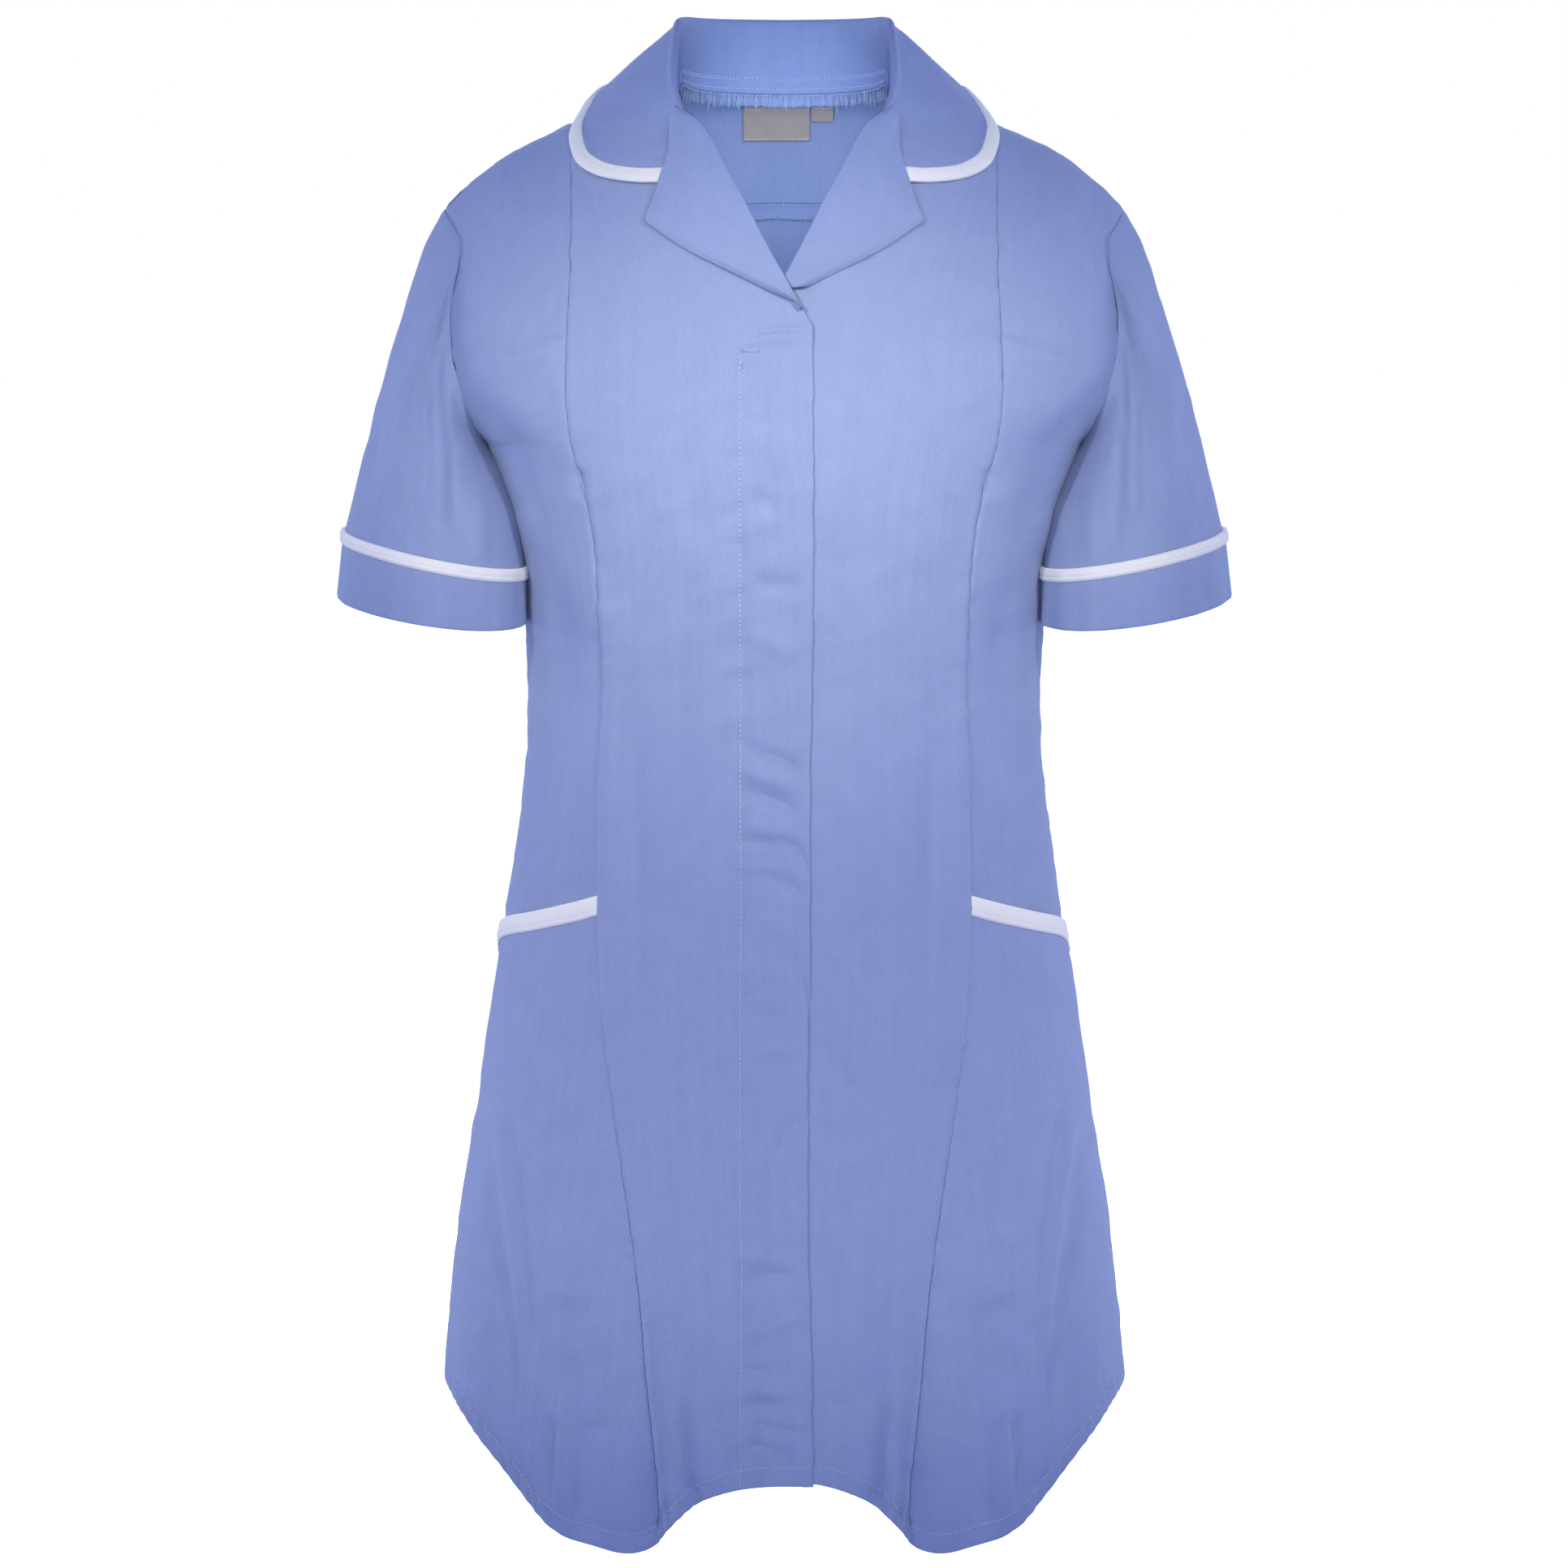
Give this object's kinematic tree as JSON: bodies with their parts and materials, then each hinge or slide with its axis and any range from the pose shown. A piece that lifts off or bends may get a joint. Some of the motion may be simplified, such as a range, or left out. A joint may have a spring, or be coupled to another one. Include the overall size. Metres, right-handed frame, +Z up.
{
  "type": "maternity tunic",
  "caption": "Short-sleeved maternity tunic with a turned collar and lapels, concealed front fastening, princess seams, side pockets and a curved hem, in its worn form.",
  "frame": {"origin": "on the centre plane, at the level where the shoulders meet the neck, where the tunic hangs from a wearer's shoulders", "axes": "+Z up, -Y out of the front, -X to the wearer's right"},
  "size_m": [0.5192, 0.2529, 0.8792],
  "materials": {
    "blue_twill": "fine woven twill, matt",
    "white_binding": "woven binding, matt",
    "woven_label": "woven label, slight sheen"
  },
  "bodies": {
    "root": {"front_left": "blue_twill", "front_right": "blue_twill", "side_front_left": "blue_twill", "side_front_right": "blue_twill", "pocket_left": "blue_twill", "pocket_right": "blue_twill", "lapel_left": "blue_twill", "lapel_right": "blue_twill", "back_yoke": "blue_twill", "back_panel": "blue_twill", "sleeve_left": "blue_twill", "sleeve_right": "blue_twill", "cuff_left": "blue_twill", "cuff_right": "blue_twill", "collar": "blue_twill", "collar_binding": "white_binding", "cuff_binding_left": "white_binding", "cuff_binding_right": "white_binding", "pocket_binding_left": "white_binding", "pocket_binding_right": "white_binding", "neck_label": "woven_label", "size_tab": "woven_label"}
  },
  "joints": []
}
